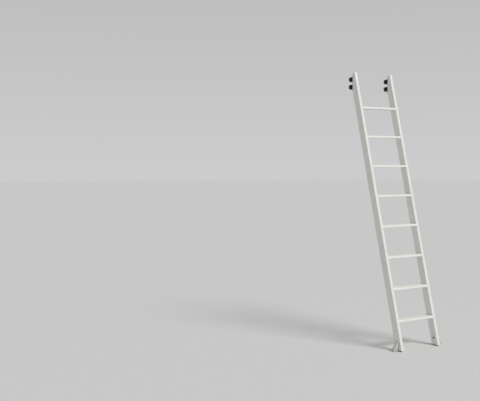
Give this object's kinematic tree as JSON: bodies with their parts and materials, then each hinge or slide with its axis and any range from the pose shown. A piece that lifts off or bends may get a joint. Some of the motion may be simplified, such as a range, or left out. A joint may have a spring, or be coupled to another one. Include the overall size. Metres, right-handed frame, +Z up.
{
  "type": "rolling library ladder",
  "caption": "Off-white rolling library ladder: leaning stiles with level treads, grooved rollers that grip a pipe rail at the top and hooded wheels at the feet.",
  "frame": {"origin": "on the centre line of the rail that the top rollers hold, midway between the stiles", "axes": "+X along the rail, to the right for a climber; +Y towards the bookcase; +Z up. The floor is at z = -2.056 m"},
  "size_m": [0.482, 0.6556, 2.1395],
  "materials": {
    "painted_wood": "satin off-white paint over close-grained wood",
    "black_steel": "satin black powder coat",
    "roller_nylon": "turned black nylon",
    "bronze": "oiled sintered bronze",
    "hood_enamel": "light grey-white enamel on pressed sheet steel",
    "rubber": "dark grey solid rubber",
    "hub_nylon": "moulded grey nylon",
    "pad_rubber": "moulded black rubber",
    "dark_steel": "black oxide screws and bolts"
  },
  "bodies": {
    "ladder": {"tread_1": "painted_wood", "tread_2": "painted_wood", "tread_3": "painted_wood", "tread_4": "painted_wood", "tread_5": "painted_wood", "tread_6": "painted_wood", "tread_7": "painted_wood", "tread_8": "painted_wood", "stile_left": "painted_wood", "carriage_plate_left": "black_steel", "upper_roller_bolt_left": "dark_steel", "upper_plate_screw_left": "dark_steel", "lower_roller_bolt_left": "dark_steel", "lower_plate_screw_left": "dark_steel", "wheel_hood_left": "hood_enamel", "wheel_axle_left": "hood_enamel", "wheel_axle_nut_left": "dark_steel", "foot_bolt_left": "dark_steel", "foot_bolt_nut_left": "dark_steel", "hood_screw_left": "dark_steel", "foot_pad_left": "pad_rubber", "foot_pad_screw_left": "dark_steel", "stile_right": "painted_wood", "carriage_plate_right": "black_steel", "upper_roller_bolt_right": "dark_steel", "upper_plate_screw_right": "dark_steel", "lower_roller_bolt_right": "dark_steel", "lower_plate_screw_right": "dark_steel", "wheel_hood_right": "hood_enamel", "wheel_axle_right": "hood_enamel", "wheel_axle_nut_right": "dark_steel", "foot_bolt_right": "dark_steel", "foot_bolt_nut_right": "dark_steel", "hood_screw_right": "dark_steel", "foot_pad_right": "pad_rubber", "foot_pad_screw_right": "dark_steel"},
    "upper_rail_roller_left": {"upper_roller_left": "roller_nylon", "upper_roller_bush_left": "bronze"},
    "lower_rail_roller_left": {"lower_roller_left": "roller_nylon", "lower_roller_bush_left": "bronze"},
    "floor_wheel_left": {"floor_tyre_left": "rubber", "floor_wheel_hub_left": "hub_nylon"},
    "upper_rail_roller_right": {"upper_roller_right": "roller_nylon", "upper_roller_bush_right": "bronze"},
    "lower_rail_roller_right": {"lower_roller_right": "roller_nylon", "lower_roller_bush_right": "bronze"},
    "floor_wheel_right": {"floor_tyre_right": "rubber", "floor_wheel_hub_right": "hub_nylon"}
  },
  "joints": [
    {"name": "upper_rail_roller_left_spin", "type": "hinge", "parent": "ladder", "child": "upper_rail_roller_left", "pos_m": [-0.18, 0, 0.03065], "axis": [0, 1, 0], "continuous": true},
    {"name": "lower_rail_roller_left_spin", "type": "hinge", "parent": "ladder", "child": "lower_rail_roller_left", "pos_m": [-0.18, 0, -0.03065], "axis": [0, 1, 0], "continuous": true},
    {"name": "floor_wheel_left_spin", "type": "hinge", "parent": "ladder", "child": "floor_wheel_left", "pos_m": [-0.2128, -0.59448, -2.04], "axis": [0, 1, 0], "continuous": true},
    {"name": "upper_rail_roller_right_spin", "type": "hinge", "parent": "ladder", "child": "upper_rail_roller_right", "pos_m": [0.18, 0, 0.03065], "axis": [0, 1, 0], "continuous": true},
    {"name": "lower_rail_roller_right_spin", "type": "hinge", "parent": "ladder", "child": "lower_rail_roller_right", "pos_m": [0.18, 0, -0.03065], "axis": [0, 1, 0], "continuous": true},
    {"name": "floor_wheel_right_spin", "type": "hinge", "parent": "ladder", "child": "floor_wheel_right", "pos_m": [0.2128, -0.59448, -2.04], "axis": [0, 1, 0], "continuous": true}
  ]
}
